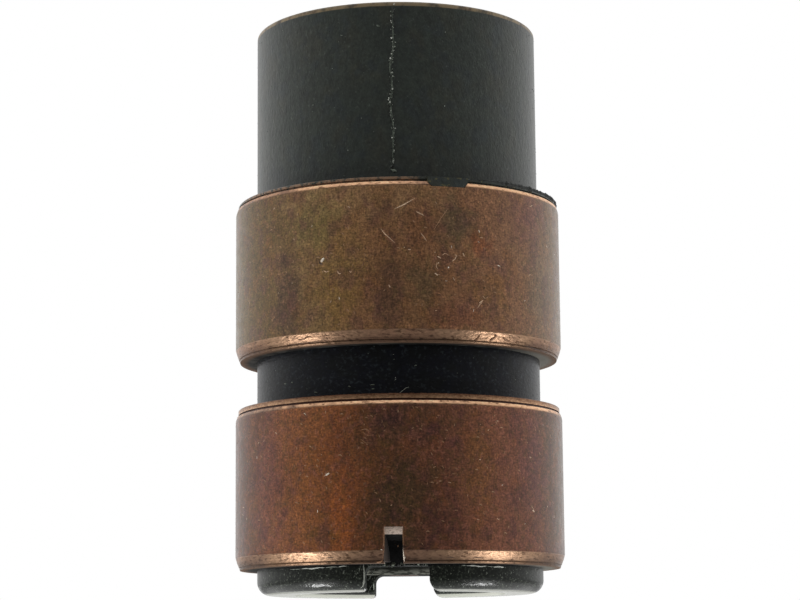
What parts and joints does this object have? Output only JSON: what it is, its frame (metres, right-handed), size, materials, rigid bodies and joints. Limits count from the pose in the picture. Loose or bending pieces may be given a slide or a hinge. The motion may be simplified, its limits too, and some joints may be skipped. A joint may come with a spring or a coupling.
{
  "type": "alternator slip ring",
  "caption": "Two copper slip rings moulded on a black phenolic sleeve, with a shaft bore, two half-moon feet and a wire slot.",
  "frame": {"origin": "on the shaft axis, in the plane of the feet's lower faces", "axes": "+Z along the shaft bore from the feet to the sleeve's end, -Y towards the wire slot"},
  "size_m": [0.028, 0.028, 0.0485],
  "materials": {
    "phenolic_moulding": "compression-moulded phenolic, matte greenish black",
    "upper_ring_copper": "turned copper, dulled to olive brown, bare at the scraped edges",
    "lower_ring_copper": "turned copper, dulled to red brown, bare at the scraped edges",
    "lead_copper": "rolled copper strip"
  },
  "bodies": {
    "root": {"moulded_body": "phenolic_moulding", "upper_slip_ring": "upper_ring_copper", "lower_slip_ring": "lower_ring_copper", "upper_ring_lead": "lead_copper"}
  },
  "joints": []
}
